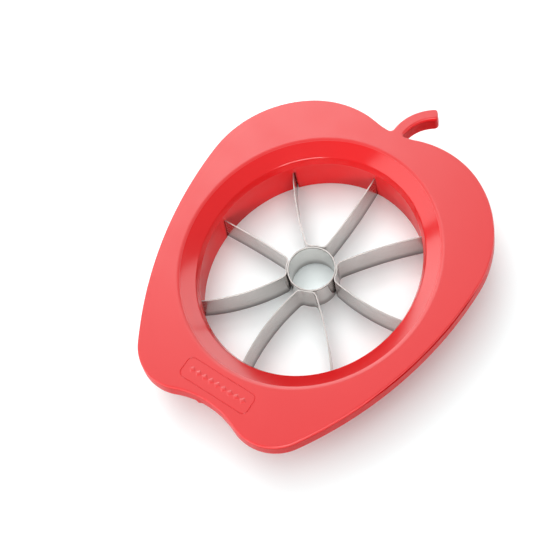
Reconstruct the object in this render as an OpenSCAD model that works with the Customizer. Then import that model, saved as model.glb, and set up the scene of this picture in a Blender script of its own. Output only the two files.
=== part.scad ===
// Apple-shaped slicer and corer: a two-shell moulded frame, four folded steel strips that make
// eight blades, and a core ring. Millimetres, +Z up, origin on the table under the core ring,
// +Y towards the stem.

/* [Frame] */
// Height from the table to the top face
body_h = 28; // [26:0.5:32]
// Width of the top face across the cheeks of the apple
cheek_w = 125.2; // [118:0.2:130]
// Distance from the ring's axis to the bottom of the lower dip
dip_y = 69.5; // [66:0.1:72]
// How far the upper shell's side stands outside the edge of the top face
cover_proud = 0.4; // [0.2:0.1:1.2]
// How far the lower shell's side stands outside the edge of the top face
skirt_proud = 1.1; // [0.8:0.1:2]
// Height of the whole side, from the skirt's lower edge to the top face
side_h = 7; // [5:0.1:8]
// Height of the upper shell's share of the side
cover_t = 1.5; // [1.2:0.1:2.4]

/* [Opening] */
// Width of the opening at the lip
open_w = 87.8; // [84:0.2:92]
// Length of the opening at the lip, towards the stem
open_l = 97; // [92:0.2:100]
// Depth of the funnel, from the top face to the lip
funnel_h = 8; // [7:0.1:10]
// Width of the funnel's slope seen from above
funnel_w = 7.3; // [6:0.1:8]
// Height of the funnel's steep foot above the lip
knee_h = 3.1; // [2:0.1:4]
// Width of that foot seen from above
knee_w = 1; // [0.6:0.1:1.6]
// How much further out the collar stands at the table than at the lip
collar_flare = 2.2; // [1:0.1:2.6]
// Thickness of the collar and the funnel
wall_t = 1.8; // [1.5:0.1:2.2]

/* [Blades] */
// Outer diameter of the core ring
ring_d = 20; // [18:0.5:22]
// Wall thickness of the core ring
ring_t = 0.5; // [0.4:0.05:0.8]
// Thickness of the strips
blade_t = 0.5; // [0.4:0.05:0.7]
// Height of the blades' lower edge above the table
blade_z0 = 0; // [0:0.1:1]
// Height of the blades' upper edge above the table
blade_z1 = 16; // [14:0.5:17]
// Sideways bow of each blade: at the stem, then on to the right all the way round
blade_bow = [0.8, 1.1, 1.9, 1.3, 2.4, 2.2, 0.7, 1.4];
// Degrees by which the grip on the ring stops short of each blade, in the same order
blade_grip = [12, 13.5, 10, 11, 12, 9.5, 15, 9];
// Radius of the bend where a strip leaves the ring
bend_r = 2.4; // [1.8:0.1:3]

/* [Stem and badge] */
// Radius of the stem's curve
stem_r = 17.9; // [16:0.1:19]
// Width of the stem's top face
stem_w = 3.8; // [3:0.1:4.5]
// Degrees through which the stem curves
stem_sweep = 62; // [50:1:70]
// Width of the badge
badge_w = 31.6; // [26:0.2:34]
// Height of the badge
badge_h = 9; // [7:0.2:9.4]

/* [Hidden] */

RED = [0.9, 0.2, 0.2];
STEEL = [0.72, 0.7, 0.68];
EPS = 0.01;
GAP = 0.2;           // clearance between the two shells

// Heights
lip_z = body_h - funnel_h;
knee_z = lip_z + knee_h;
seam_z = body_h - cover_t;
skirt_z = body_h - side_h;

// Outline of the apple: radius and turn of each arc, from the dip round to the notch at the stem
dip_r = 37.9;
dip_turn = -22.2;
toe_r = 18.4;
toe_turn = 79.4;
brow_r = 38.5;
brow_turn = 48.1;
notch_r = 36;
notch_turn = -15.7;
flank_head = dip_turn + toe_turn;
crown_turn = 90 - brow_turn - notch_turn;
toe_x = toe_r * (sin(flank_head) - sin(dip_turn)) - dip_r * sin(dip_turn);
flank_r = (cheek_w / 2 - toe_x) / (1 - sin(flank_head));
brow_x = brow_r * (sin(90 + crown_turn + brow_turn) - sin(90 + crown_turn));
notch_x = notch_r * sin(90 + crown_turn + brow_turn);
crown_r = (cheek_w / 2 + brow_x + notch_x) / (1 - sin(90 + crown_turn));
OUTLINE = [[dip_r, dip_turn], [toe_r, toe_turn], [flank_r, 90 - flank_head],
           [crown_r, crown_turn], [brow_r, brow_turn], [notch_r, notch_turn]];
arc_step = 4;        // degrees between the points of an arc

// Stem: an arc to the right of the notch that starts on the outline
stem_x = 18.9;
stem_y = 66.8;
stem_root = 9;       // straight length buried in the body

// Shells
plate_t = 1.6;       // under plate of the lower shell
plate_rise = 1;      // how far it is set up inside the skirt
plate_z = skirt_z + plate_rise;
sleeve_t = 2.2;      // wall around the collar, at the table
sleeve_root = funnel_w + 0.9; // offset of that wall's outer face at the plate
funnel_back = funnel_w * (seam_z - lip_z) / funnel_h + 2.3; // funnel's outer face at the seam
post_r = 1.95;
post_in = 0.5;       // how far a post's end stays inside its boss
socket_r = 2.05;
boss_r = 3.4;
boss_h = side_h - cover_t;
post_h = boss_h;     // its top end is buried in the upper shell
POSTS = [[52.5, 24], [46, -34], [30, -62.5], [33, 55.5]];

// Blades: ends in slots through the collar, each end bent into a tab behind it
strip_gap = 0.2;     // weld thickness between the ring and a strip
grip_r = ring_d / 2 + strip_gap + blade_t / 2;
tab_out = 4.1;       // middle of the tab beyond the lip
tab_l = 4.4;
tab_z0 = 3;
slot_clear = 0.1;
slot_in = 2;         // how far a slot's cutter starts inside the lip
pocket_clear = 0.25;
pocket_top = lip_z + 3; // open at the top, so that a tab drops in
weld_r = 1.2;
STRIPS = [7, 1, 3, 5]; // first blade of each strip: back, right, front, left

// Badge
badge_y = -62.8;
badge_r = 2.4;
groove_w = 0.45;
groove_h = 0.3;
LOZENGES = 9;
lozenge = 2.1;
lozenge_pitch = 2.95;
lozenge_h = 0.25;

// ---------- outline ----------

// Points along one arc: start, heading, radius, turn; the start itself is left out
function arc(p, h, r, turn) =
    let (n = max(2, ceil(abs(turn) / arc_step)), s = sign(turn))
    [for (i = [1 : n])
        let (a = h + turn * i / n)
        [p[0] + s * r * (sin(a) - sin(h)), p[1] + s * r * (cos(h) - cos(a))]];

// Points along a chain of [radius, turn] arcs, with every arc moved outwards by d
function chain(p, h, arcs, d, i = 0) =
    i == len(arcs) ? [] :
    let (turn = arcs[i][1], pts = arc(p, h, arcs[i][0] + d * sign(turn), turn))
    concat(pts, chain(pts[len(pts) - 1], h + turn, arcs, d, i + 1));

function half_outline(d) = chain([0, -dip_y - d], 0, OUTLINE, d);

// Whole outline: the right half, then the same points mirrored, in reverse order
function apple(d) =
    let (right = half_outline(d), n = len(right))
    concat([[0, -dip_y - d]], right, [for (i = [n - 2 : -1 : 0]) [-right[i][0], right[i][1]]]);

// Closed outline of the stem, moved outwards by d
function stem(d) =
    let (half = stem_w / 2 + d, n = 12, last = stem_sweep + asin(d / stem_r))
    concat(
        [[stem_x - stem_r + half, stem_y - stem_root], [stem_x - stem_r - half, stem_y - stem_root]],
        [for (i = [0 : n]) let (a = 180 - last * i / n)
            [stem_x + (stem_r + half) * cos(a), stem_y + (stem_r + half) * sin(a)]],
        [for (i = [n : -1 : 0]) let (a = 180 - last * i / n)
            [stem_x + (stem_r - half) * cos(a), stem_y + (stem_r - half) * sin(a)]]);

module plan(d) {
    polygon(apple(d));
    polygon(stem(d));
}

// Oval that stands d outside the lip of the opening
module oval(d) {
    polygon([for (a = [0 : 3.75 : 359]) [(open_w / 2 + d) * cos(a), (open_l / 2 + d) * sin(a)]]);
}

// Oval tube section that runs from offset d0 at z0 to offset d1 at z1
module oval_cone(z0, d0, z1, d1) {
    hull() {
        translate([0, 0, z0]) linear_extrude(EPS) oval(d0);
        translate([0, 0, z1 - EPS]) linear_extrude(EPS) oval(d1);
    }
}

// ---------- blades ----------

// Blades 0 to 7 go clockwise from the stem; each points at an eighth of the oval
function blade_dir(k) =
    let (v = [open_w * sin(45 * k), open_l * cos(45 * k)]) v / norm(v);
function wall_reach(k) = norm([open_w * sin(45 * k), open_l * cos(45 * k)]) / 2;
function blade_angle(k) = atan2(blade_dir(k)[1], blade_dir(k)[0]);

// Middle line of one blade in its own frame, +X outwards and the strip's other blade at -Y:
// [x, y, heading] from the grip, round the bend and along a shallow arc to the tab
function blade_line(k) =
    let (g = blade_grip[k], reach = wall_reach(k) + tab_out,
         lean = 2 * atan(2 * blade_bow[k] / (reach - grip_r - bend_r)),
         cx = (grip_r + bend_r) * cos(g), cy = -(grip_r + bend_r) * sin(g),
         sx = cx - bend_r * sin(lean), sy = cy + bend_r * cos(lean),
         chord = norm([reach - sx, sy]), turn = 2 * (lean - atan2(-sy, reach - sx)),
         r = chord / (2 * sin(turn / 2)))
    concat(
        [for (i = [0 : 6]) let (h = 90 - g + (lean - 90 + g) * i / 6)
            [cx - bend_r * sin(h), cy + bend_r * cos(h), h]],
        [for (i = [1 : 10]) let (h = lean - turn * i / 10)
            [sx + r * (sin(lean) - sin(h)), sy - r * (cos(lean) - cos(h)), h]]);

function turned(q, a) =
    [q[0] * cos(a) - q[1] * sin(a), q[0] * sin(a) + q[1] * cos(a), q[2] + a];
function flipped(q) = [q[0], -q[1], -q[2]];
function reversed(v) = [for (i = [len(v) - 1 : -1 : 0]) v[i]];

// Middle line of a strip, from the tab of blade k, round the ring, to the tab of blade k + 1.
// Headings run along the line.
function strip_line(k) =
    let (m = (k + 1) % 8, ak = blade_angle(k),
         am = blade_angle(m) > ak ? blade_angle(m) - 360 : blade_angle(m),
         first = [for (q = blade_line(k)) turned(q + [0, 0, 180], ak)],
         second = [for (q = blade_line(m)) turned(flipped(q), am)],
         a0 = ak - blade_grip[k], a1 = am + blade_grip[m], n = 6)
    concat(
        reversed(first),
        [for (i = [1 : n - 1]) let (a = a0 + (a1 - a0) * i / n)
            [grip_r * cos(a), grip_r * sin(a), a - 90]],
        second);

function beside(line, d) = [for (q = line) [q[0] - d * sin(q[2]), q[1] + d * cos(q[2])]];

module blade_strip(k) {
    line = strip_line(k);
    translate([0, 0, blade_z0]) linear_extrude(blade_z1 - blade_z0)
        polygon(concat(beside(line, blade_t / 2), reversed(beside(line, -blade_t / 2))));
    for (m = [k, (k + 1) % 8])
        at_blade(m) translate([tab_out - blade_t / 2, -tab_l / 2, tab_z0])
            cube([blade_t, tab_l, blade_z1 - tab_z0]);
}

// Puts its children at the lip where blade k ends, with +X outwards
module at_blade(k) {
    rotate([0, 0, blade_angle(k)]) translate([wall_reach(k), 0, 0]) children();
}

// ---------- sub-parts ----------

module rounded(w, h, r) {
    polygon([for (c = [[1, 1, 0], [-1, 1, 90], [-1, -1, 180], [1, -1, 270]], a = [0 : 15 : 90])
        [c[0] * (w / 2 - r) + r * cos(c[2] + a), c[1] * (h / 2 - r) + r * sin(c[2] + a)]]);
}

module badge_groove() {
    translate([0, badge_y, body_h - groove_h]) linear_extrude(groove_h + EPS) difference() {
        rounded(badge_w, badge_h, badge_r);
        rounded(badge_w - 2 * groove_w, badge_h - 2 * groove_w, badge_r - groove_w);
    }
}

// Row of small raised lozenges in the badge
module badge_lozenges() {
    for (i = [0 : LOZENGES - 1])
        translate([(i - (LOZENGES - 1) / 2) * lozenge_pitch, badge_y, body_h - EPS])
            rotate([0, 0, 45]) translate([-lozenge / 2, -lozenge / 2, 0])
                cube([lozenge, lozenge, lozenge_h + EPS]);
}

module top_cover() {
    color(RED) difference() {
        union() {
            translate([0, 0, seam_z]) linear_extrude(cover_t) plan(cover_proud);
            oval_cone(lip_z, wall_t, seam_z + EPS, funnel_back);
            oval_cone(0, collar_flare + wall_t, lip_z + EPS, wall_t);
            for (p = POSTS, side = [-1, 1])
                translate([side * p[0], p[1], skirt_z + post_in])
                    cylinder(r = post_r, h = post_h, $fn = 32);
            badge_lozenges();
        }
        oval_cone(knee_z - EPS, knee_w, body_h + EPS, funnel_w);
        oval_cone(lip_z, 0, knee_z, knee_w);
        oval_cone(-EPS, collar_flare, lip_z + EPS, 0);
        for (k = [0 : 7])
            at_blade(k) translate([-slot_in, -blade_t / 2 - slot_clear, -EPS])
                cube([slot_in + tab_out, blade_t + 2 * slot_clear, blade_z1 + EPS]);
        badge_groove();
    }
}

module bottom_frame() {
    color(RED) difference() {
        union() {
            translate([0, 0, skirt_z]) linear_extrude(boss_h) difference() {
                plan(skirt_proud);
                plan(skirt_proud - wall_t);
            }
            translate([0, 0, plate_z]) linear_extrude(plate_t) plan(skirt_proud - EPS);
            oval_cone(0, collar_flare + wall_t + GAP + sleeve_t, plate_z + EPS, sleeve_root);
            for (p = POSTS, side = [-1, 1])
                translate([side * p[0], p[1], skirt_z]) cylinder(r = boss_r, h = boss_h, $fn = 48);
        }
        oval_cone(-EPS, collar_flare + wall_t + GAP, lip_z + EPS, wall_t + GAP);
        oval_cone(lip_z, wall_t + GAP, seam_z + EPS, funnel_back + GAP);
        for (k = [0 : 7])
            at_blade(k) translate([0, -tab_l / 2 - pocket_clear, tab_z0])
                cube([tab_out + blade_t / 2 + pocket_clear, tab_l + 2 * pocket_clear, pocket_top - tab_z0]);
        for (p = POSTS, side = [-1, 1])
            translate([side * p[0], p[1], skirt_z - EPS])
                cylinder(r = socket_r, h = side_h, $fn = 32);
    }
}

module core_ring() {
    color(STEEL) translate([0, 0, blade_z0]) difference() {
        cylinder(d = ring_d, h = blade_z1 - blade_z0, $fn = 96);
        translate([0, 0, -EPS])
            cylinder(d = ring_d - 2 * ring_t, h = blade_z1 - blade_z0 + 2 * EPS, $fn = 96);
    }
}

module blade_strip_back() { color(STEEL) blade_strip(STRIPS[0]); }
module blade_strip_right() { color(STEEL) blade_strip(STRIPS[1]); }
module blade_strip_front() { color(STEEL) blade_strip(STRIPS[2]); }
module blade_strip_left() { color(STEEL) blade_strip(STRIPS[3]); }

// One nugget halfway up the grip of each strip
module spot_welds() {
    mid = (blade_z0 + blade_z1) / 2;
    color(STEEL) for (k = STRIPS) {
        m = (k + 1) % 8;
        ak = blade_angle(k) - blade_grip[k];
        am = blade_angle(m) + blade_grip[m];
        rotate([0, 0, (ak + (am > ak ? am - 360 : am)) / 2]) intersection() {
            translate([0, 0, mid]) rotate([0, 90, 0]) cylinder(r = weld_r, h = ring_d, $fn = 32);
            difference() {
                cylinder(d = ring_d + 2 * strip_gap, h = body_h, $fn = 96);
                translate([0, 0, -EPS]) cylinder(d = ring_d, h = body_h + 2 * EPS, $fn = 96);
            }
        }
    }
}

top_cover();
bottom_frame();
core_ring();
blade_strip_back();
blade_strip_right();
blade_strip_front();
blade_strip_left();
spot_welds();
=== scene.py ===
import math

import bmesh
import bpy
from mathutils import Matrix, Vector
from mathutils.geometry import delaunay_2d_cdt


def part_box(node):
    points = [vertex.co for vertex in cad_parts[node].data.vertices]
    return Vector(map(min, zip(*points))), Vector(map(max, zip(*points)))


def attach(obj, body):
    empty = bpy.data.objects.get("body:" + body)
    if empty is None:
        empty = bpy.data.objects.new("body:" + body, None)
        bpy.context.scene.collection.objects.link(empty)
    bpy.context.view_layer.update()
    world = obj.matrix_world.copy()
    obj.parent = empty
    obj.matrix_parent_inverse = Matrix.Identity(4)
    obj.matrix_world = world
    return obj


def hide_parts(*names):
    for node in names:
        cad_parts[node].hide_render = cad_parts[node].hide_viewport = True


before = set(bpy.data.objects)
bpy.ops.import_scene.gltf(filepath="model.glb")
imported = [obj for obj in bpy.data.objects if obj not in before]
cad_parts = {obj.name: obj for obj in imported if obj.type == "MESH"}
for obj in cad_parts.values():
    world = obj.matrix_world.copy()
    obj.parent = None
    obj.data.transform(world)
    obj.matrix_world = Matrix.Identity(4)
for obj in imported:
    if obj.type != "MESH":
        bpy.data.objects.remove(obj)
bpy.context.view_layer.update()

# Lengths in this script are in millimetres until a mesh is made, and heights are above the table.
MM = 0.001


def size_of(node):
    """Size of a CAD node's box, in millimetres."""
    low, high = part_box(node)
    return (high - low) / MM


# ---------- sizes, from the frame and as in the CAD source ----------

SKIRT_PROUD = 1.1         # bottom frame's side outside the edge of the top face
FLUSH = 0.5               # where the two sides meet flush
COVER_T = 1.5             # the top cover's share of the side
SIDE_H = 7
LOZENGE_H = 0.25
BODY_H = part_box("top_cover")[1].z / MM - LOZENGE_H
SEAM_Z = BODY_H - COVER_T
SKIRT_Z = BODY_H - SIDE_H
HALF_W = size_of("bottom_frame").x / 2 - SKIRT_PROUD
DIP_Y = 69.5
DIP_ARC = (37.9, -22.2)   # radius, and turn in degrees, of the arcs that fix the outline
TOE_ARC = (18.4, 79.4)
BROW_ARC = (38.5, 48.1)
NOTCH_ARC = (36, -15.7)
EDGE_OUT = 0.3            # corner of the top edge outside the outline, and its radius
EDGE_ROUND = 0.62

OPEN_X = 43.9             # half width of the opening at the lip
OPEN_Y = 48.5
FUNNEL_H = 8
FUNNEL_W = 7.3
KNEE_H = 3.1              # the steep foot of the funnel above the lip
KNEE_W = 1
LIP_Z = BODY_H - FUNNEL_H
FLARE = 2.2               # the collar's spread from the lip down to the table
MOUTH_ROUND = 2.5         # radii of the round into the funnel, its knee, the lip and the foot
KNEE_ROUND = 1.2
LIP_ROUND = 0.25
FOOT_ROUND = 0.35
WALL = 1.8
GAP = 0.2
FUNNEL_T = 2.3            # thickness of the funnel, measured outwards
FUNNEL_BACK = FUNNEL_W * (SEAM_Z - LIP_Z) / FUNNEL_H + FUNNEL_T
PLATE_Z = SKIRT_Z + 1
PLATE_TOP = PLATE_Z + 1.6
SLEEVE_T = 2.2
SLEEVE_ROOT = FUNNEL_W + 0.9

RING_R = size_of("core_ring").x / 2
RING_T = 0.5
BLADE_T = 0.5
BLADE_H = size_of("core_ring").z
BEVEL_H = 0.75            # height of the ground edge along the bottom of the blades
BLADE_EDGE = 0.02         # half the thickness that is left at that edge
BLADE_BOW = [0.8, 1.1, 1.9, 1.3, 2.4, 2.2, 0.7, 1.4]
BLADE_GRIP = [12, 13.5, 10, 11, 12, 9.5, 15, 9]
BEND_R = 2.4
WELD_GAP = 0.2            # between the ring and a strip, which the nuggets fill
GRIP_R = RING_R + WELD_GAP + BLADE_T / 2
TAB_OUT = 4.1             # a tab's middle beyond the lip
TAB_L = 4.4
TAB_Z0 = 3
TAB_Z1 = BLADE_H - 0.05
SLOT_W = BLADE_T + 0.2
WELD_R = 1.2
DIMPLE = 0.07             # depth of the electrode's mark on the outside of a strip
DIMPLE_SPREAD = 1.6       # its reach, in weld radii
HEAT_CORE = 0.6           # distance from a weld's middle within which the tint is full
HEAT_REACH = 6.4

STEM_R = 17.9
STEM_W = 3.8
STEM_SWEEP = 62
STEM_X = 18.9
STEM_Y = 66.8
TIP_ROUND = 0.9           # radius of the corners at the stem's tip
NOTCH_LEFT = 2.1          # radii of the two inner corners at the stem's root
NOTCH_RIGHT = 1.8

POSTS = [(52.5, 24), (46, -34), (30, -62.5), (33, 55.5)]     # those on the right
POST_R = 1.95
POST_Z = SKIRT_Z + 0.5
SOCKET_R = 2.05
BOSS_R = 3.4

BADGE_Y = -62.8
BADGE_W = 31.6
BADGE_H = 9
BADGE_R = 2.4
# Profile of the groove round the badge: distance inside its border, and depth
BADGE_GROOVE = [(0, 0), (0.07, 0.10), (0.15, 0.24), (0.31, 0.24), (0.39, 0.10), (0.46, 0)]
LOZENGES = 9
LOZENGE_PITCH = 2.95
LOZENGE = 2.1
# Profile of a lozenge: distance inside its edge, radius of its corners, and height
LOZENGE_STEPS = [(0, 0.25, 0), (0.05, 0.22, 0.05), (0.46, 0.14, 0.225), (0.58, 0.1, 0.248)]

LEDGE_START = -44         # stretch of the right flank, in y, where the lower shell's ledge shows
LEDGE_END = 24
LEDGE_FADE_IN = 18
LEDGE_FADE_OUT = 14
COVER_STEP = 0.3          # how much the cover stands back there, and the depth where that starts
COVER_STEP_DEPTH = 0.6
SKIRT_STEP = 0.12         # how much the skirt stands out there, and the height where that starts
SKIRT_STEP_H = 3
GATE = Vector((-4.6, -69.8))     # where the moulding gate was cut off, on the dip's lower edge
GATE_R = 1.5
GATE_OUT = 0.45
GATE_H = 1.6

ARC_STEP = 0.7            # spacing of the points along the outline, the stem, its root and its tip
STEM_STEP = 0.5
ROOT_STEP = 0.3
TIP_STEP = 0.15
SAME_PLACE = 1e-4         # points closer than this are one point


# ---------- outline of the apple ----------

def sine(degrees):
    return math.sin(math.radians(degrees))


def arc(centre, radius, side, start, end, step=ARC_STEP):
    """Points and outward normals along an arc whose heading goes from start to end, in degrees.
    side is 1 where the outline turns left, and -1 where it turns right."""
    count = max(8, math.ceil(abs(math.radians(end - start)) * radius / step))
    found = []
    for i in range(count + 1):
        h = math.radians(start + (end - start) * i / count)
        nx, ny = math.sin(h), -math.cos(h)
        found.append((centre[0] + side * radius * nx, centre[1] + side * radius * ny, nx, ny))
    return found


def half_arcs():
    """Arcs of the right half, from the dip to the notch, as centre, radius, side and first and last
    heading. The flank and the crown get the radii that reach the full width and close the outline."""
    dip, toe, brow, notch = DIP_ARC, TOE_ARC, BROW_ARC, NOTCH_ARC
    head = dip[1] + toe[1]
    crown_turn = 90 - brow[1] - notch[1]
    toe_x = toe[0] * (sine(head) - sine(dip[1])) - dip[0] * sine(dip[1])
    flank_r = (HALF_W - toe_x) / (1 - sine(head))
    last = 90 + crown_turn + brow[1]
    brow_x = brow[0] * (sine(last) - sine(90 + crown_turn))
    crown_r = (HALF_W + brow_x + notch[0] * sine(last)) / (1 - sine(90 + crown_turn))
    x, y, heading = 0, -DIP_Y, 0
    arcs = []
    for radius, turn in [dip, toe, (flank_r, 90 - head), (crown_r, crown_turn), brow, notch]:
        side = math.copysign(1, turn)
        a, b = math.radians(heading), math.radians(heading + turn)
        centre = (x - side * radius * math.sin(a), y + side * radius * math.cos(a))
        arcs.append((centre, radius, side, heading, heading + turn))
        x = centre[0] + side * radius * math.sin(b)
        y = centre[1] - side * radius * math.cos(b)
        heading += turn
    return arcs


def corner_centre(ring_r, inset, angle):
    """Centre of a round of radius inset in a corner at the stem's end, on a circle of ring_r about the
    stem's centre."""
    along = math.sqrt(ring_r ** 2 - inset ** 2)
    a = math.radians(angle)
    return (STEM_X + along * math.cos(a) - inset * math.sin(a),
            STEM_Y + along * math.sin(a) + inset * math.cos(a))


def crossing(first, first_r, second, second_r):
    """The left one of the two points where two circles cross."""
    dx, dy = second[0] - first[0], second[1] - first[1]
    apart = math.hypot(dx, dy)
    along = (apart ** 2 + first_r ** 2 - second_r ** 2) / (2 * apart)
    aside = math.sqrt(first_r ** 2 - along ** 2)
    return min((first[0] + (along * dx + sign * aside * dy) / apart,
                first[1] + (along * dy - sign * aside * dx) / apart) for sign in (-1, 1))


def heading_of(place, centre):
    """Heading, from 0 to 360, of a right-turning arc about centre where it passes place."""
    return math.degrees(math.atan2(centre[0] - place[0], place[1] - centre[1])) % 360


def apple_outline():
    """Closed outline of the top face with the stem, as (x, y, normal x, normal y)."""
    arcs = half_arcs()
    notch_centre, notch_r = arcs[-1][0], arcs[-1][1]
    stem = (STEM_X, STEM_Y)
    tip = 180 - STEM_SWEEP
    inner_r, outer_r = STEM_R - STEM_W / 2, STEM_R + STEM_W / 2
    right = crossing(notch_centre, notch_r - NOTCH_RIGHT, stem, inner_r - NOTCH_RIGHT)
    left = crossing(notch_centre, notch_r - NOTCH_LEFT, stem, outer_r + NOTCH_LEFT)
    right_head, left_head = heading_of(right, notch_centre), heading_of(left, notch_centre)
    right_root, left_root = heading_of(right, stem), heading_of(stem, left)
    inner = tip + math.degrees(math.asin(TIP_ROUND / (inner_r + TIP_ROUND)))
    outer = tip + math.degrees(math.asin(TIP_ROUND / (outer_r - TIP_ROUND)))

    inner_tip = corner_centre(inner_r + TIP_ROUND, TIP_ROUND, tip)
    outer_tip = corner_centre(outer_r - TIP_ROUND, TIP_ROUND, tip)

    pieces = [arc(*part) for part in arcs[:-1]]
    pieces += [arc(notch_centre, notch_r, -1, arcs[-1][3], right_head),
               arc(right, NOTCH_RIGHT, -1, right_head, right_root, ROOT_STEP),
               arc(stem, inner_r, -1, right_root, inner - 90, STEM_STEP),
               arc(inner_tip, TIP_ROUND, 1, inner - 90, tip, TIP_STEP),
               arc(outer_tip, TIP_ROUND, 1, tip, outer + 90, TIP_STEP),
               arc(stem, outer_r, 1, outer + 90, left_root, STEM_STEP),
               arc(left, NOTCH_LEFT, -1, left_root, left_head, ROOT_STEP),
               arc(notch_centre, notch_r, -1, left_head, 360 - arcs[-1][3])]
    pieces += [arc((-c[0], c[1]), r, s, 360 - b, 360 - a) for c, r, s, a, b in reversed(arcs[:-1])]

    points = []
    for p in [p for piece in pieces for p in piece]:
        if not points or math.dist(p[:2], points[-1][:2]) > SAME_PLACE:
            points.append(p)
    if math.dist(points[0][:2], points[-1][:2]) < SAME_PLACE:
        points.pop()
    return points


OUTLINE = apple_outline()


def outline_ring(out, z):
    """The outline moved outwards by out, a number or a function of x and y."""
    ring = []
    for x, y, nx, ny in OUTLINE:
        d = out(x, y) if callable(out) else out
        ring.append((x + nx * d, y + ny * d, z))
    return ring


# ---------- oval opening ----------

def blade_way(k):
    """Direction of blade k, which ends an eighth of the way round the oval; 0 is at the stem."""
    a = math.radians(45 * k)
    return Vector((OPEN_X * math.sin(a), OPEN_Y * math.cos(a))).normalized()


def wall_reach(k):
    """Distance from the ring's axis to the lip along blade k."""
    a = math.radians(45 * k)
    return math.hypot(OPEN_X * math.sin(a), OPEN_Y * math.cos(a))


def slot_edge(way, beside, out):
    """Angle, on the oval that lies out beyond the lip, where a line beside a blade's middle meets it."""
    u, v = way.x * (OPEN_Y + out), way.y * (OPEN_X + out)
    return math.atan2(v, u) + math.asin(beside / math.hypot(u, v))


SECTOR_STEPS = 44


def oval_ring(out, z):
    """Points of the oval moved outwards by out, anticlockwise from the slot of the blade at +X.
    Each of the eight stretches starts at one edge of a slot and ends at the near edge of the next."""
    ring = []
    for j in range(8):
        start = slot_edge(blade_way(2 - j), SLOT_W / 2, out)
        end = slot_edge(blade_way(1 - j), -SLOT_W / 2, out)
        if end < start:
            end += 2 * math.pi
        for i in range(SECTOR_STEPS + 1):
            a = start + (end - start) * i / SECTOR_STEPS
            ring.append(((OPEN_X + out) * math.cos(a), (OPEN_Y + out) * math.sin(a), z))
    return ring


# ---------- sections ----------

def rounded(path, steps=5):
    """A section as (out, z) points, from corners given as (out, z, radius)."""
    found = []
    for i, (x, z, radius) in enumerate(path):
        here = Vector((x, z))
        if radius == 0 or i in (0, len(path) - 1):
            found.append((x, z))
            continue
        back = (Vector(path[i - 1][:2]) - here).normalized()
        on = (Vector(path[i + 1][:2]) - here).normalized()
        half = back.angle(on) / 2
        start = here + back * (radius / math.tan(half))
        end = here + on * (radius / math.tan(half))
        centre = here + (back + on).normalized() * (radius / math.sin(half))
        for j in range(steps + 1):
            a = start.lerp(end, 0.5 - 0.5 * math.cos(math.pi * j / steps))
            found.append(tuple(centre + (a - centre).normalized() * radius))
    return found


# ---------- mesh building ----------

INSIDE_ONLY = 1           # the triangulation's output type that leaves out what lies outside


class Piece:
    """A mesh under construction, from rings of points."""

    def __init__(self):
        self.bm = bmesh.new()

    def ring(self, points):
        return [self.bm.verts.new((x * MM, y * MM, z * MM)) for x, y, z in points]

    def skin(self, a, b, kind=0, skip=()):
        """Joins two closed rings of the same length, apart from the steps in skip. kind is one material
        number, or one for each step."""
        for i in range(len(a)):
            if i not in skip:
                j = (i + 1) % len(a)
                self.face((a[i], a[j], b[j], b[i]), kind[i] if isinstance(kind, list) else kind, True)

    def crease(self, a, b):
        """Makes the edge between two points a sharp one."""
        self.bm.edges.get((a, b)).smooth = False

    def face(self, corners, kind=0, smooth=False):
        made = self.bm.faces.new(corners)
        made.material_index = kind
        made.smooth = smooth

    def flat(self, rings, kind=0):
        """Fills the flat area inside the first ring and outside the others, which are convex."""
        points, owner, edges = [], [], []
        for number, ring in enumerate(rings):
            start = len(points)
            points += ring
            owner += [number] * len(ring)
            edges += [(start + i, start + (i + 1) % len(ring)) for i in range(len(ring))]
        places = [Vector((v.co.x / MM, v.co.y / MM)) for v in points]
        _, _, triangles, source, _, _ = delaunay_2d_cdt(places, edges, [], INSIDE_ONLY, 1e-6)
        for triangle in triangles:
            corners = [source[i][0] for i in triangle]
            owners = {owner[i] for i in corners}
            if len(owners) > 1 or owners == {0}:
                self.face([points[i] for i in corners], kind)

    def sweep(self, rings, kind=0):
        """Makes each ring of points and joins it to the next."""
        made = [self.ring(r) for r in rings]
        for a, b in zip(made, made[1:]):
            self.skin(a, b, kind)
        return made

    def object(self, name, materials, node):
        bmesh.ops.recalc_face_normals(self.bm, faces=self.bm.faces)
        mesh = bpy.data.meshes.new(name)
        self.bm.to_mesh(mesh)
        self.bm.free()
        for m in materials:
            mesh.materials.append(m)
        made = bpy.data.objects.new(name, mesh)
        bpy.context.scene.collection.objects.link(made)
        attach(made, "root")
        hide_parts(node)
        return made


def circle(x, y, radius, z, count=40):
    return [(x + radius * math.cos(2 * math.pi * i / count),
             y + radius * math.sin(2 * math.pi * i / count), z) for i in range(count)]


def at_posts(piece, section):
    """Sweeps a round section at the place of each post and returns the rings made at each."""
    found = []
    for x, y in POSTS:
        for side in (-1, 1):
            rings = [circle(side * x, y, radius, z) for radius, z in section]
            found.append(piece.sweep(rings, GLOSS_SIDE))
    return found


def smooth_step(x):
    x = min(1, max(0, x))
    return x * x * (3 - 2 * x)


# ---------- materials ----------

MIX_A, MIX_B, MIX_RESULT = 6, 7, 2           # a Mix node's colour sockets, which share their names
NOISE_LOW, NOISE_HIGH = 0.25, 0.75           # the range in which a noise mostly stays

RED_DEEP = (0.74, 0.012, 0.014)
RED_BRIGHT = (0.78, 0.015, 0.017)
DRIFT_SCALE = 38          # noise scales of the plastic, per metre
SHEEN_SCALE = 90
WAVE_SCALE = 70
GRAIN_SCALE = 2600
WAVE_DEPTH = 0.001        # bump distances, in metres
GRAIN_DEPTH = 0.0001
LINE_DEPTH = 0.00003
LINE_STRENGTH = 0.12
ROLLING_LINES = (60, 60, 5200)
CLOUD_SCALE = 160
STRAW = (0.34, 0.25, 0.18)
FOOT_SHADE_H = 6               # height up to which painted shade darkens the steel above its ground edge


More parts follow.
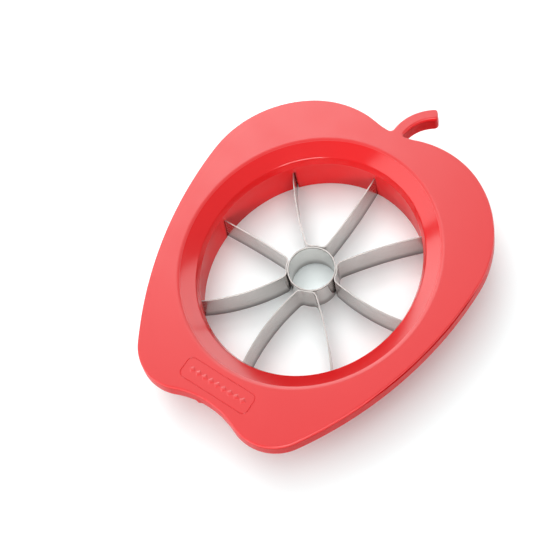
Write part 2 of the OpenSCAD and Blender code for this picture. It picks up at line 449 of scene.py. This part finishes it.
def new_material(name):
    made = bpy.data.materials.new(name)
    made.use_nodes = True
    nodes, links = made.node_tree.nodes, made.node_tree.links
    shader = nodes["Principled BSDF"]
    coords = nodes.new("ShaderNodeTexCoord")
    return made, nodes, links, shader, coords


def noise(nodes, links, coords, scale, detail=2.0, stretch=None):
    """A noise over the object's own coordinates, in metres."""
    made = nodes.new("ShaderNodeTexNoise")
    made.inputs["Scale"].default_value = scale
    made.inputs["Detail"].default_value = detail
    if stretch:
        mapping = nodes.new("ShaderNodeMapping")
        mapping.inputs["Scale"].default_value = stretch
        links.new(coords.outputs["Object"], mapping.inputs["Vector"])
        links.new(mapping.outputs["Vector"], made.inputs["Vector"])
    else:
        links.new(coords.outputs["Object"], made.inputs["Vector"])
    return made.outputs["Fac"]


def remap(nodes, links, value, low, high):
    made = nodes.new("ShaderNodeMapRange")
    made.inputs["From Min"].default_value = NOISE_LOW
    made.inputs["From Max"].default_value = NOISE_HIGH
    made.inputs["To Min"].default_value = low
    made.inputs["To Max"].default_value = high
    links.new(value, made.inputs["Value"])
    return made.outputs["Result"]


def blend_colours(nodes, links, factor, first, second):
    made = nodes.new("ShaderNodeMix")
    made.data_type = "RGBA"
    links.new(factor, made.inputs["Factor"])
    made.inputs[MIX_A].default_value = (*first, 1)
    made.inputs[MIX_B].default_value = (*second, 1)
    return made.outputs[MIX_RESULT]


def bump(nodes, links, height, strength, distance, before=None):
    made = nodes.new("ShaderNodeBump")
    made.inputs["Strength"].default_value = strength
    made.inputs["Distance"].default_value = distance
    links.new(height, made.inputs["Height"])
    if before:
        links.new(before, made.inputs["Normal"])
    return made.outputs["Normal"]


def red_plastic(name, rough_low, rough_high, grain, wave, shine):
    """Moulded plastic: faint colour drift, spark-eroded grain and the slight waves of a thin wall."""
    made, nodes, links, shader, coords = new_material(name)
    drift = noise(nodes, links, coords, DRIFT_SCALE, 3)
    links.new(blend_colours(nodes, links, drift, RED_DEEP, RED_BRIGHT), shader.inputs["Base Color"])
    sheen = noise(nodes, links, coords, SHEEN_SCALE, 4)
    links.new(remap(nodes, links, sheen, rough_low, rough_high), shader.inputs["Roughness"])
    shader.inputs["IOR"].default_value = 1.5
    shader.inputs["Specular IOR Level"].default_value = shine
    waves = bump(nodes, links, noise(nodes, links, coords, WAVE_SCALE, 1), wave, WAVE_DEPTH)
    grains = noise(nodes, links, coords, GRAIN_SCALE, 2)
    links.new(bump(nodes, links, grains, grain, GRAIN_DEPTH, waves), shader.inputs["Normal"])
    return made


def steel(name, dull, bright, rough, heat_share, foot_shade=1.0):
    """Strip steel with fine lines along its length, a straw tint round the spot welds and painted shade
    that darkens it towards the bottom. The last argument is the share of its brightness that this
    painted shade leaves just above the ground edge."""
    made, nodes, links, shader, coords = new_material(name)
    shader.inputs["Metallic"].default_value = 1.0
    lines = noise(nodes, links, coords, 1, 3, ROLLING_LINES)
    cloud = noise(nodes, links, coords, CLOUD_SCALE, 3)
    plain = blend_colours(nodes, links, cloud, dull, bright)
    heat = nodes.new("ShaderNodeAttribute")
    heat.attribute_name = "heat"
    ramp = nodes.new("ShaderNodeValToRGB")
    ramp.color_ramp.elements[0].color = (0, 0, 0, 1)
    ramp.color_ramp.elements[1].color = (heat_share, heat_share, heat_share, 1)
    links.new(heat.outputs["Fac"], ramp.inputs["Fac"])
    tint = nodes.new("ShaderNodeMix")
    tint.data_type = "RGBA"
    tint.inputs[MIX_B].default_value = (*STRAW, 1)
    links.new(ramp.outputs["Color"], tint.inputs["Factor"])
    links.new(plain, tint.inputs[MIX_A])
    # Painted shade: the colour is multiplied down towards the bottom of the piece, darkest just above
    # the ground edge
    height = nodes.new("ShaderNodeSeparateXYZ")
    links.new(coords.outputs["Object"], height.inputs["Vector"])
    shade = nodes.new("ShaderNodeMapRange")
    shade.interpolation_type = "SMOOTHSTEP"
    shade.inputs["From Min"].default_value = BEVEL_H * MM
    shade.inputs["From Max"].default_value = FOOT_SHADE_H * MM
    shade.inputs["To Min"].default_value = foot_shade
    shade.inputs["To Max"].default_value = 1
    links.new(height.outputs["Z"], shade.inputs["Value"])
    ground = nodes.new("ShaderNodeMix")
    ground.data_type = "RGBA"
    ground.blend_type = "MULTIPLY"
    ground.inputs["Factor"].default_value = 1
    links.new(tint.outputs[MIX_RESULT], ground.inputs[MIX_A])
    links.new(shade.outputs["Result"], ground.inputs[MIX_B])
    links.new(ground.outputs[MIX_RESULT], shader.inputs["Base Color"])
    links.new(remap(nodes, links, lines, *rough), shader.inputs["Roughness"])
    links.new(bump(nodes, links, lines, LINE_STRENGTH, LINE_DEPTH), shader.inputs["Normal"])
    return made


def plain_paper():
    made, _, _, shader, _ = new_material("white_table")
    shader.inputs["Base Color"].default_value = (0.86, 0.95, 0.95, 1)
    shader.inputs["Roughness"].default_value = 0.9
    shader.inputs["Specular IOR Level"].default_value = 0.1
    shader.inputs["Emission Color"].default_value = (1, 1, 1, 1)
    shader.inputs["Emission Strength"].default_value = 0.08
    return made


SATIN = red_plastic("red_satin", 0.36, 0.44, 0.10, 0.02, 0.9)
GLOSS = red_plastic("red_gloss", 0.12, 0.17, 0.02, 0.05, 0.5)
LINER = red_plastic("red_liner", 0.30, 0.40, 0.05, 0.03, 0.1)
# The last number of the strip and ring steel is the share of brightness that their painted shade leaves
# at the bottom
STRIP_STEEL = steel("strip_steel", (0.53, 0.49, 0.475), (0.62, 0.58, 0.56), (0.20, 0.30), 0.9, 0.35)
RING_STEEL = steel("ring_steel", (0.66, 0.62, 0.60), (0.76, 0.72, 0.70), (0.10, 0.18), 0.35, 0.5)
CUT_STEEL = steel("cut_steel", (0.44, 0.42, 0.40), (0.60, 0.58, 0.56), (0.42, 0.55), 0.3)
GROUND_STEEL = steel("ground_steel", (0.95, 0.93, 0.92), (1, 0.99, 0.98), (0.25, 0.35), 0)

# Material numbers on the plastic pieces, and on the steel ones
SATIN_SIDE, GLOSS_SIDE, LINER_SIDE = 0, 1, 2
ROLLED, CUT, GROUND = 0, 1, 2
SATIN_OUTSIDE = 0.5       # how far the satin reaches down the outer side and into the funnel
SATIN_INSIDE = 0.7
GLOSS_BELOW_LIP = 0.3     # how far the gloss goes on below the lip


# ---------- top cover ----------

def flank(x, y):
    """1 along the right flank, where the lower shell's ledge shows at the seam, and 0 elsewhere."""
    if x <= 0:
        return 0
    fade_in = smooth_step((y - LEDGE_START) / LEDGE_FADE_IN)
    return fade_in * smooth_step((LEDGE_END - y) / LEDGE_FADE_OUT)


def cover_side(out, z):
    """Offset of the cover's side at one height, which stands back along the right flank at the seam."""
    low = smooth_step((BODY_H - COVER_STEP_DEPTH - z) / 0.7) if out > 0 else 0
    return lambda x, y: out - low * COVER_STEP * flank(x, y)


def funnel_kind(z):
    """Material of the cover's inner side down to height z: satin round, glossy funnel, dull collar."""
    if z > BODY_H - SATIN_INSIDE:
        return SATIN_SIDE
    return LINER_SIDE if z < LIP_Z - GLOSS_BELOW_LIP else GLOSS_SIDE


def rounded_box(width, height, radius, y, z, steps=6):
    points = []
    for i, (sx, sy) in enumerate([(1, 1), (-1, 1), (-1, -1), (1, -1)]):
        for j in range(steps + 1):
            a = math.radians(90 * i + 90 * j / steps)
            points.append((sx * (width / 2 - radius) + radius * math.cos(a),
                           y + sy * (height / 2 - radius) + radius * math.sin(a), z))
    return points


def lozenge_ring(x, half, round_r, z, steps=4):
    """A square on its corner, with rounded corners."""
    points = []
    for i in range(4):
        for j in range(steps + 1):
            a = math.radians(90 * i - 45 + 90 * j / steps)
            way = math.radians(90 * i)
            reach = half * math.sqrt(2) - round_r * math.sqrt(2)
            points.append((x + reach * math.cos(way) + round_r * math.cos(a),
                           BADGE_Y + reach * math.sin(way) + round_r * math.sin(a), z))
    return points


def badge(piece):
    """Shallow groove round the badge and a row of lozenges; returns the ring that bounds it."""
    groove = []
    for inside, depth in BADGE_GROOVE:
        groove.append(rounded_box(BADGE_W - 2 * inside, BADGE_H - 2 * inside, BADGE_R - inside,
                                  BADGE_Y, BODY_H - depth))
    groove = piece.sweep(groove, SATIN_SIDE)
    marks = []
    for i in range(LOZENGES):
        x = (i - (LOZENGES - 1) / 2) * LOZENGE_PITCH
        levels = piece.sweep([lozenge_ring(x, LOZENGE / 2 - inside, round_r, BODY_H + rise)
                              for inside, round_r, rise in LOZENGE_STEPS], SATIN_SIDE)
        piece.face(levels[-1], SATIN_SIDE, True)
        marks.append(levels[0])
    piece.flat([groove[-1]] + marks, SATIN_SIDE)
    return groove[0]


def make_cover():
    piece = Piece()
    lead = 2              # flat length before the first round; its outer ring goes once it is made

    # Outer side: satin round on the top edge, then the drafted side down to the seam
    edge = rounded([(-lead, BODY_H, 0), (EDGE_OUT, BODY_H, EDGE_ROUND), (FLUSH, SEAM_Z, 0.08),
                    (-0.4, SEAM_Z, 0)])
    outer = [piece.ring(outline_ring(cover_side(out, z), z)) for out, z in edge]
    for (_, z), a, b in zip(edge[1:], outer[1:], outer[2:]):
        piece.skin(a, b, SATIN_SIDE if z > BODY_H - SATIN_OUTSIDE else LINER_SIDE)

    # Inner side: funnel, lip and collar, round the bottom edge and up the outside again
    slot_top = FLARE * (LIP_Z - BLADE_H) / LIP_Z
    section = rounded([
        (FUNNEL_W + lead, BODY_H, 0), (FUNNEL_W, BODY_H, MOUTH_ROUND),
        (KNEE_W, LIP_Z + KNEE_H, KNEE_ROUND), (0, LIP_Z, LIP_ROUND), (slot_top, BLADE_H, 0),
        (FLARE, 0, FOOT_ROUND), (FLARE + WALL, 0, FOOT_ROUND), (slot_top + WALL, BLADE_H, 0),
        (WALL, LIP_Z, 0), (FUNNEL_BACK, SEAM_Z, 0)])
    inner = [piece.ring(oval_ring(out, z)) for out, z in section]
    slots = [(SECTOR_STEPS + 1) * (j + 1) - 1 for j in range(8)]
    first, last = [i for i, (_, z) in enumerate(section) if z == BLADE_H]
    for i in range(1, len(inner) - 1):
        kind = funnel_kind(section[i + 1][1])
        piece.skin(inner[i], inner[i + 1], kind, slots if first <= i < last else ())
    cut = inner[first:last + 1]
    for s in slots:
        e = (s + 1) % len(inner[0])
        piece.face([ring[s] for ring in cut], GLOSS_SIDE)
        piece.face([ring[e] for ring in cut], GLOSS_SIDE)
        piece.face((cut[0][s], cut[0][e], cut[-1][e], cut[-1][s]), GLOSS_SIDE)

    # Top face, with a narrow smooth border so that the rounds shade evenly
    border = 0.1
    border_out = piece.ring(outline_ring(edge[1][0] - border, BODY_H))
    border_in = piece.ring(oval_ring(section[1][0] + border, BODY_H))
    piece.skin(border_out, outer[1], SATIN_SIDE)
    piece.skin(border_in, inner[1], SATIN_SIDE)
    piece.flat([border_out, border_in, badge(piece)], SATIN_SIDE)

    # Underside, with the posts that fit the frame's sockets
    posts = at_posts(piece, rounded([(POST_R, SEAM_Z, 0), (POST_R, POST_Z, 0.3), (0.8, POST_Z, 0)], 3))
    for post in posts:
        piece.face(post[-1], GLOSS_SIDE)
    piece.flat([outer[-1], inner[-1]] + [post[0] for post in posts], GLOSS_SIDE)
    for ring in (outer[0], inner[0]):
        bmesh.ops.delete(piece.bm, geom=ring, context="VERTS")
    return piece.object("cover_shell", [SATIN, GLOSS, LINER], "top_cover")


# ---------- bottom frame ----------

def skirt_side(out, z):
    """Offset of the skirt's side at one height: it stands out as a ledge along the right flank, and
    there is the stub of the gate on the dip's lower edge."""
    if out <= 0:
        return out
    stub = GATE_OUT * smooth_step((SKIRT_Z + GATE_H - z) / 0.8)
    ledge = SKIRT_STEP * smooth_step((z - SKIRT_Z - SKIRT_STEP_H) / 2.5)

    def at(x, y):
        near = smooth_step(1 - (Vector((x, y)) - GATE).length / GATE_R)
        return out + stub * near + ledge * flank(x, y)
    return at


def make_frame():
    piece = Piece()

    # Skirt: up the inside, over the seam, down the drafted side and round the lower edge
    inside = SKIRT_PROUD - WALL
    edge = rounded([
        (inside, PLATE_TOP, 0), (inside, SEAM_Z, 0), (FLUSH + 0.02, SEAM_Z - 0.02, 0.1),
        (FLUSH + 0.14, SEAM_Z - 1, 0), (SKIRT_PROUD - 0.32, SKIRT_Z + 3, 0),
        (SKIRT_PROUD - 0.1, SKIRT_Z + 1.2, 0), (SKIRT_PROUD, SKIRT_Z, 0.35),
        (inside, SKIRT_Z, 0.3), (inside - 0.05, PLATE_Z, 0)], 4)
    outer = piece.sweep([outline_ring(skirt_side(out, z), z) for out, z in edge], LINER_SIDE)

    # Sleeve round the collar: down its outside and up its inside to the plate
    clear = WALL + GAP
    funnel_out = (FUNNEL_BACK - WALL) * (PLATE_TOP - LIP_Z) / (SEAM_Z - LIP_Z)
    section = rounded([
        (SLEEVE_ROOT, PLATE_Z, 0), (FLARE + clear + SLEEVE_T, 0, 0.5), (FLARE + clear, 0, 0.3),
        (clear, LIP_Z, 0), (clear + funnel_out, PLATE_TOP, 0)], 4)
    inner = piece.sweep([oval_ring(out, z) for out, z in section], GLOSS_SIDE)

    # Plate, with a boss and a socket for each post
    sockets = at_posts(piece, rounded([(BOSS_R, PLATE_Z, 0), (BOSS_R, SKIRT_Z, 0.35),
                                       (SOCKET_R, SKIRT_Z, 0.2), (SOCKET_R, PLATE_TOP, 0)], 3))
    piece.flat([outer[-1], inner[0]] + [socket[0] for socket in sockets], SATIN_SIDE)
    piece.flat([outer[0], inner[-1]] + [socket[-1] for socket in sockets], SATIN_SIDE)
    return piece.object("frame_shell", [SATIN, GLOSS, LINER], "bottom_frame")


# ---------- steel ----------

BEND_STEPS = 16
BOW_STEPS = 40
GRIP_STEPS = 28
SHARP = 35                # degrees by which an edge has to turn to be shaded as a sharp one


def blade_line(k):
    """Middle line of blade k as (x, y, heading), from its grip on the ring outwards, with +X along the
    blade and the strip's other blade towards -Y."""
    grip = math.radians(BLADE_GRIP[k])
    reach = wall_reach(k) + TAB_OUT
    lean = 2 * math.atan(2 * BLADE_BOW[k] / (reach - GRIP_R - BEND_R))
    cx = (GRIP_R + BEND_R) * math.cos(grip)
    cy = -(GRIP_R + BEND_R) * math.sin(grip)
    sx, sy = cx - BEND_R * math.sin(lean), cy + BEND_R * math.cos(lean)
    chord = math.hypot(reach - sx, sy)
    turn = 2 * (lean - math.atan2(-sy, reach - sx))
    radius = chord / (2 * math.sin(turn / 2))
    line = []
    for i in range(BEND_STEPS + 1):
        h = math.pi / 2 - grip + (lean - math.pi / 2 + grip) * i / BEND_STEPS
        line.append((cx - BEND_R * math.sin(h), cy + BEND_R * math.cos(h), h))
    for i in range(1, BOW_STEPS + 1):
        h = lean - turn * i / BOW_STEPS
        line.append((sx + radius * (math.sin(lean) - math.sin(h)),
                     sy - radius * (math.cos(lean) - math.cos(h)), h))
    return line


def turned(x, y, heading, a):
    """A point of a line, with its heading, turned about the ring's axis."""
    return x * math.cos(a) - y * math.sin(a), x * math.sin(a) + y * math.cos(a), heading + a


def blade_angle(k):
    way = blade_way(k)
    return math.atan2(way.y, way.x)


def grip_range(k):
    """Angles at which strip k's grip on the ring starts and ends, and the angles of its two blades."""
    m = (k + 1) % 8
    first, last = blade_angle(k), blade_angle(m)
    if last > first:
        last -= 2 * math.pi
    return first - math.radians(BLADE_GRIP[k]), last + math.radians(BLADE_GRIP[m]), first, last


def strip_line(k):
    """Middle line of the strip that makes blades k and k + 1, from tab to tab."""
    start, end, first, last = grip_range(k)
    out = [turned(x, y, h + math.pi, first) for x, y, h in blade_line(k)]
    back = [turned(x, -y, -h, last) for x, y, h in blade_line((k + 1) % 8)]
    grip = []
    for i in range(1, GRIP_STEPS):
        a = start + (end - start) * i / GRIP_STEPS
        grip.append((GRIP_R * math.cos(a), GRIP_R * math.sin(a), a - math.pi / 2))
    return list(reversed(out)) + grip + back


def weld_point(k):
    """Where strip k is welded to the ring: halfway round its grip and halfway up."""
    start, end = grip_range(k)[:2]
    a = (start + end) / 2
    return Vector((RING_R * math.cos(a), RING_R * math.sin(a), BLADE_H / 2))


STRIPS = {"blade_strip_back": 7, "blade_strip_right": 1, "blade_strip_front": 3, "blade_strip_left": 5}
WELDS = [weld_point(k) for k in STRIPS.values()]


def paint_heat(mesh):
    """Stores how much each point was heated by the nearest weld, from 0 to 1."""
    heat = mesh.attributes.new("heat", "FLOAT", "POINT")
    for i, v in enumerate(mesh.vertices):
        near = min((v.co / MM - w).length for w in WELDS)
        heat.data[i].value = smooth_step(1 - (near - HEAT_CORE) / HEAT_REACH)


def strip_section():
    """Cross-section of a strip as (offset, z, material, sharp): ground lower edge, flat sides with
    rows of points that close up at the weld, cut top edge. The material is that of the step that
    starts at the point."""
    half = BLADE_T / 2
    chamfer = 0.04
    rows = [2, 3.5, 5, 6] + [6.6 + 0.28 * i for i in range(11)] + [10.2, 11.5, 13, 14.5]
    side = [(BLADE_EDGE, 0, GROUND, True), (half, BEVEL_H, ROLLED, True)]
    side += [(half, z, ROLLED, False) for z in rows]
    side += [(half, BLADE_H - chamfer, CUT, True), (half - chamfer, BLADE_H, CUT, True)]
    back = []
    for i in reversed(range(len(side))):
        offset, z, _, sharp = side[i]
        back.append((-offset, z, side[i - 1][2] if i else GROUND, sharp))
    return side + back


def make_strip(name, k):
    """The strip that makes blades k and k + 1, dimpled at the weld, with a tab across each end."""
    piece = Piece()
    weld = weld_point(k)
    section = strip_section()
    rings = []
    for x, y, h in strip_line(k):
        nx, ny = -math.sin(h), math.cos(h)
        ring = []
        for offset, z, _, _ in section:
            point = Vector((x + nx * offset, y + ny * offset, z))
            if offset > 0 and math.hypot(x, y) < GRIP_R + 0.1:
                depth = DIMPLE * smooth_step(DIMPLE_SPREAD - (point - weld).length / WELD_R)
                point -= Vector((nx, ny, 0)) * depth
            ring.append(tuple(point))
        rings.append(ring)
    made = piece.sweep(rings, [part[2] for part in section])
    for a, b in zip(made, made[1:]):
        for i, part in enumerate(section):
            if part[3]:
                piece.crease(a[i], b[i])
    piece.face(made[0], CUT)
    piece.face(made[-1], CUT)
    for m in (k, (k + 1) % 8):
        way = blade_way(m)
        across = Vector((-way.y, way.x))
        middle = way * (wall_reach(m) + TAB_OUT)
        corners = [middle + across * u * TAB_L / 2 + way * v * BLADE_T / 2
                   for u, v in ((-1, -1), (1, -1), (1, 1), (-1, 1))]
        ends = piece.sweep([[(c.x, c.y, z) for c in corners] for z in (TAB_Z0, TAB_Z1)])
        piece.face(ends[0])
        piece.face(ends[1])
    made = piece.object(name + "_metal", [STRIP_STEEL, CUT_STEEL, GROUND_STEEL], name)
    sharpen(made)
    paint_heat(made.data)
    return made


def sharpen(thing):
    """Marks the edges that turn by more than SHARP degrees as sharp."""
    bm = bmesh.new()
    bm.from_mesh(thing.data)
    for e in bm.edges:
        if len(e.link_faces) == 2 and e.calc_face_angle() > math.radians(SHARP):
            e.smooth = False
    bm.to_mesh(thing.data)
    bm.free()


def make_ring():
    """The core ring: chamfered at the top, and ground from the inside along its lower edge."""
    piece = Piece()
    inside = RING_R - RING_T
    rim = 0.05
    ground_h = 0.9
    rows = list(range(1, int(BLADE_H)))
    section = [(RING_R - 0.03, 0.03), (RING_R, 0.25)] + [(RING_R, z) for z in rows]
    section += [(RING_R, BLADE_H - rim), (RING_R - rim, BLADE_H), (inside + rim, BLADE_H),
                (inside, BLADE_H - rim)]
    section += [(inside, z) for z in reversed(rows)] + [(inside, ground_h), (RING_R - 0.12, 0)]
    rings = [piece.ring(circle(0, 0, r, z, 160)) for r, z in section]
    for i, a in enumerate(rings):
        j = (i + 1) % len(rings)
        z, next_z = section[i][1], section[j][1]
        cut = z < 0.2 or max(z, next_z) > BLADE_H - 2 * rim
        piece.skin(a, rings[j], CUT if cut else ROLLED)
    made = piece.object("core_ring_tube", [RING_STEEL, CUT_STEEL], "core_ring")
    sharpen(made)
    paint_heat(made.data)
    return made


def make_welds():
    """A flat nugget between the ring and each strip, bent to the ring's curve."""
    piece = Piece()
    steps = 32
    levels = ((WELD_R - 0.1, 0.01), (WELD_R, 0.05), (WELD_R, 0.15), (WELD_R - 0.1, 0.19))
    for weld in WELDS:
        out = Vector((weld.x, weld.y, 0)).normalized()
        along = Vector((-out.y, out.x, 0))
        rings = []
        for radius, depth in levels:
            ring = []
            for i in range(steps):
                a = 2 * math.pi * i / steps
                turn = radius * math.cos(a) / RING_R
                point = (out * math.cos(turn) + along * math.sin(turn)) * (RING_R + depth)
                ring.append((point.x, point.y, weld.z + radius * math.sin(a)))
            rings.append(ring)
        made = piece.sweep(rings)
        piece.face(made[0])
        piece.face(made[-1])
    made = piece.object("weld_nuggets", [STRIP_STEEL], "spot_welds")
    paint_heat(made.data)
    return made


# ---------- studio, in metres and watts ----------

TABLE_R = 3.0
WORLD_LIGHT = 0.40


def make_floor():
    bm = bmesh.new()
    bmesh.ops.create_circle(bm, cap_ends=True, segments=96, radius=TABLE_R)
    mesh = bpy.data.meshes.new("table_top")
    bm.to_mesh(mesh)
    bm.free()
    mesh.materials.append(plain_paper())
    floor = bpy.data.objects.new("table_top", mesh)
    bpy.context.scene.collection.objects.link(floor)
    return floor


def soft_light(name, place, aim, size, power):
    data = bpy.data.lights.new(name, "AREA")
    data.shape = "RECTANGLE"
    data.size, data.size_y = size
    data.energy = power
    light = bpy.data.objects.new(name, data)
    light.location = place
    light.rotation_euler = (Vector(aim) - Vector(place)).to_track_quat("-Z", "Y").to_euler()
    bpy.context.scene.collection.objects.link(light)
    return light


def light_only(light, pieces):
    """Makes a light shine on these pieces alone; every piece still casts its shadow in it."""
    lit = bpy.data.collections.new("lit_by_" + light.name)
    for piece in pieces:
        lit.objects.link(piece)
    light.light_linking.receiver_collection = lit


def make_light(upper_pieces, floor):
    world = bpy.data.worlds.new("studio")
    world.use_nodes = True
    background = world.node_tree.nodes["Background"]
    background.inputs["Color"].default_value = (1, 1, 1, 1)
    background.inputs["Strength"].default_value = WORLD_LIGHT
    bpy.context.scene.world = world
    middle = (0, 0, 0)
    soft_light("overhead_softbox", (-0.35, 0.25, 1.1), middle, (1.2, 1.2), 1.2)
    soft_light("key_softbox", (-0.53, 0.44, 0.80), middle, (0.6, 0.6), 3.4)

    # The front light is flagged off the table and the lower shell, and the fill is for the table only
    front = soft_light("front_softbox", (0.83, -0.92, 0.66), middle, (0.8, 0.5), 12)
    light_only(front, upper_pieces)
    fill = soft_light("table_fill", (-0.1, 0.1, 1.2), middle, (1.4, 1.4), 11.5)
    light_only(fill, [floor])
    soft_light("west_softbox", (-0.96, -0.86, 0.74), middle, (1.5, 0.8), 9)

    # Low cards that are only there to be mirrored in the glossy plastic
    backdrop = soft_light("backdrop_card", (-1.0, 0.9, 0.40), (0, 0, 0.1), (3.0, 0.66), 22)
    north = soft_light("north_card", (0.46, 1.22, 0.40), middle, (0.9, 0.6), 5.5)
    for card in (backdrop, north):
        card.visible_diffuse = False


def make_camera():
    azimuth, elevation, roll = math.radians(50.06), math.radians(64.28), math.radians(-17.69)
    distance = 338
    aim = Vector((-3.76, -14.66, BODY_H)) * MM
    back = Vector((math.sin(azimuth) * math.cos(elevation),
                   -math.cos(azimuth) * math.cos(elevation), math.sin(elevation)))
    level = Vector((math.cos(azimuth), math.sin(azimuth), 0))
    right = level * math.cos(roll) + back.cross(level) * math.sin(roll)
    turn = Matrix((right, back.cross(right), back)).transposed().to_4x4()
    data = bpy.data.cameras.new("camera")
    data.sensor_width = 36
    data.lens = 55.31
    data.clip_start, data.clip_end = 0.01, 20
    camera = bpy.data.objects.new("camera", data)
    camera.matrix_world = Matrix.Translation(aim + back * distance * MM) @ turn
    bpy.context.scene.collection.objects.link(camera)
    bpy.context.scene.camera = camera


make_camera()
cover = make_cover()
make_frame()
steel_pieces = [make_ring(), make_welds()]
for strip_name, strip_first in STRIPS.items():
    steel_pieces.append(make_strip(strip_name, strip_first))
make_light([cover] + steel_pieces, make_floor())
bpy.context.scene.view_settings.view_transform = "Standard"
